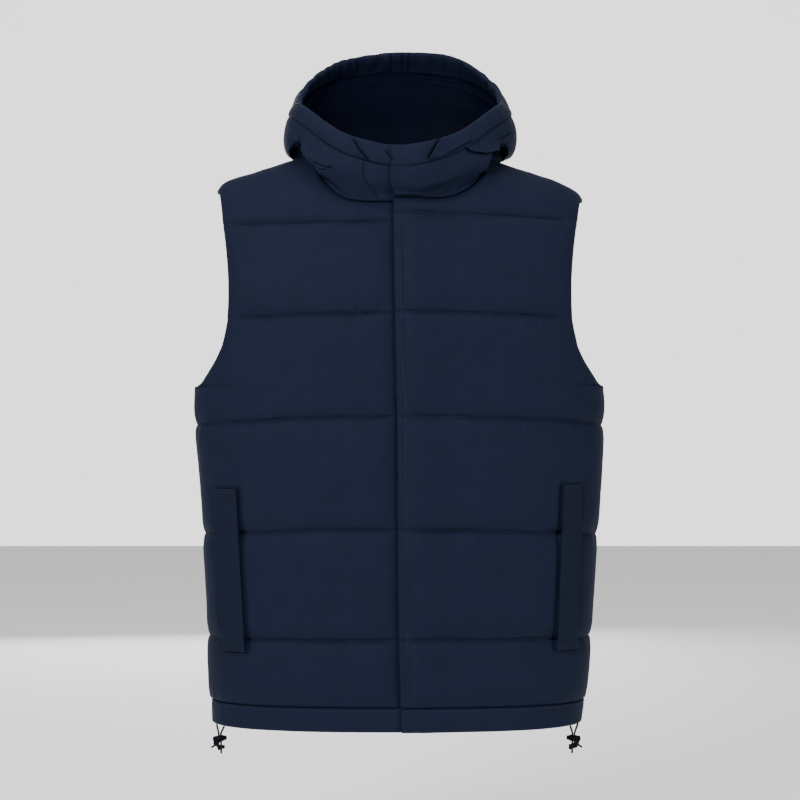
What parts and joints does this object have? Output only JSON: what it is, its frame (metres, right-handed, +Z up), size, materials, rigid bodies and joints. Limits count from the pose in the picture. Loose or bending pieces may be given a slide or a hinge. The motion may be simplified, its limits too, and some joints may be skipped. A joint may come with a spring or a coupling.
{
  "type": "hooded quilted vest",
  "caption": "Sleeveless hooded vest in navy, quilted across, with gathered hood rim, side pockets with welts and a hem band with cord locks, standing hollow as if worn.",
  "frame": {"origin": "between the shoulders, at the level where the shoulder seams meet the hood, on the middle of the body", "axes": "+Z up, the front faces -Y, +X is the wearer's left"},
  "size_m": [0.5061, 0.2451, 0.8851],
  "materials": {
    "shell": "matte fine woven",
    "trim": "matte fine woven",
    "lining": "smooth woven",
    "cord": "braided elastic",
    "lock": "satin"
  },
  "bodies": {
    "root": {"front_right": "shell", "front_left": "shell", "back": "shell", "hem_right": "shell", "hem_left": "shell", "hem_back": "shell", "hood_side_right": "shell", "hood_centre": "shell", "hood_side_left": "shell", "hood_rim": "shell", "hood_lining": "lining", "welt_right": "trim", "welt_left": "trim", "cord_lock_right": "lock", "cord_lock_left": "lock", "cord_right_outer": "cord", "cord_right_inner": "cord", "cord_left_outer": "cord", "cord_left_inner": "cord", "knot_right_outer": "cord", "knot_right_inner": "cord", "knot_left_outer": "cord", "knot_left_inner": "cord"}
  },
  "joints": []
}
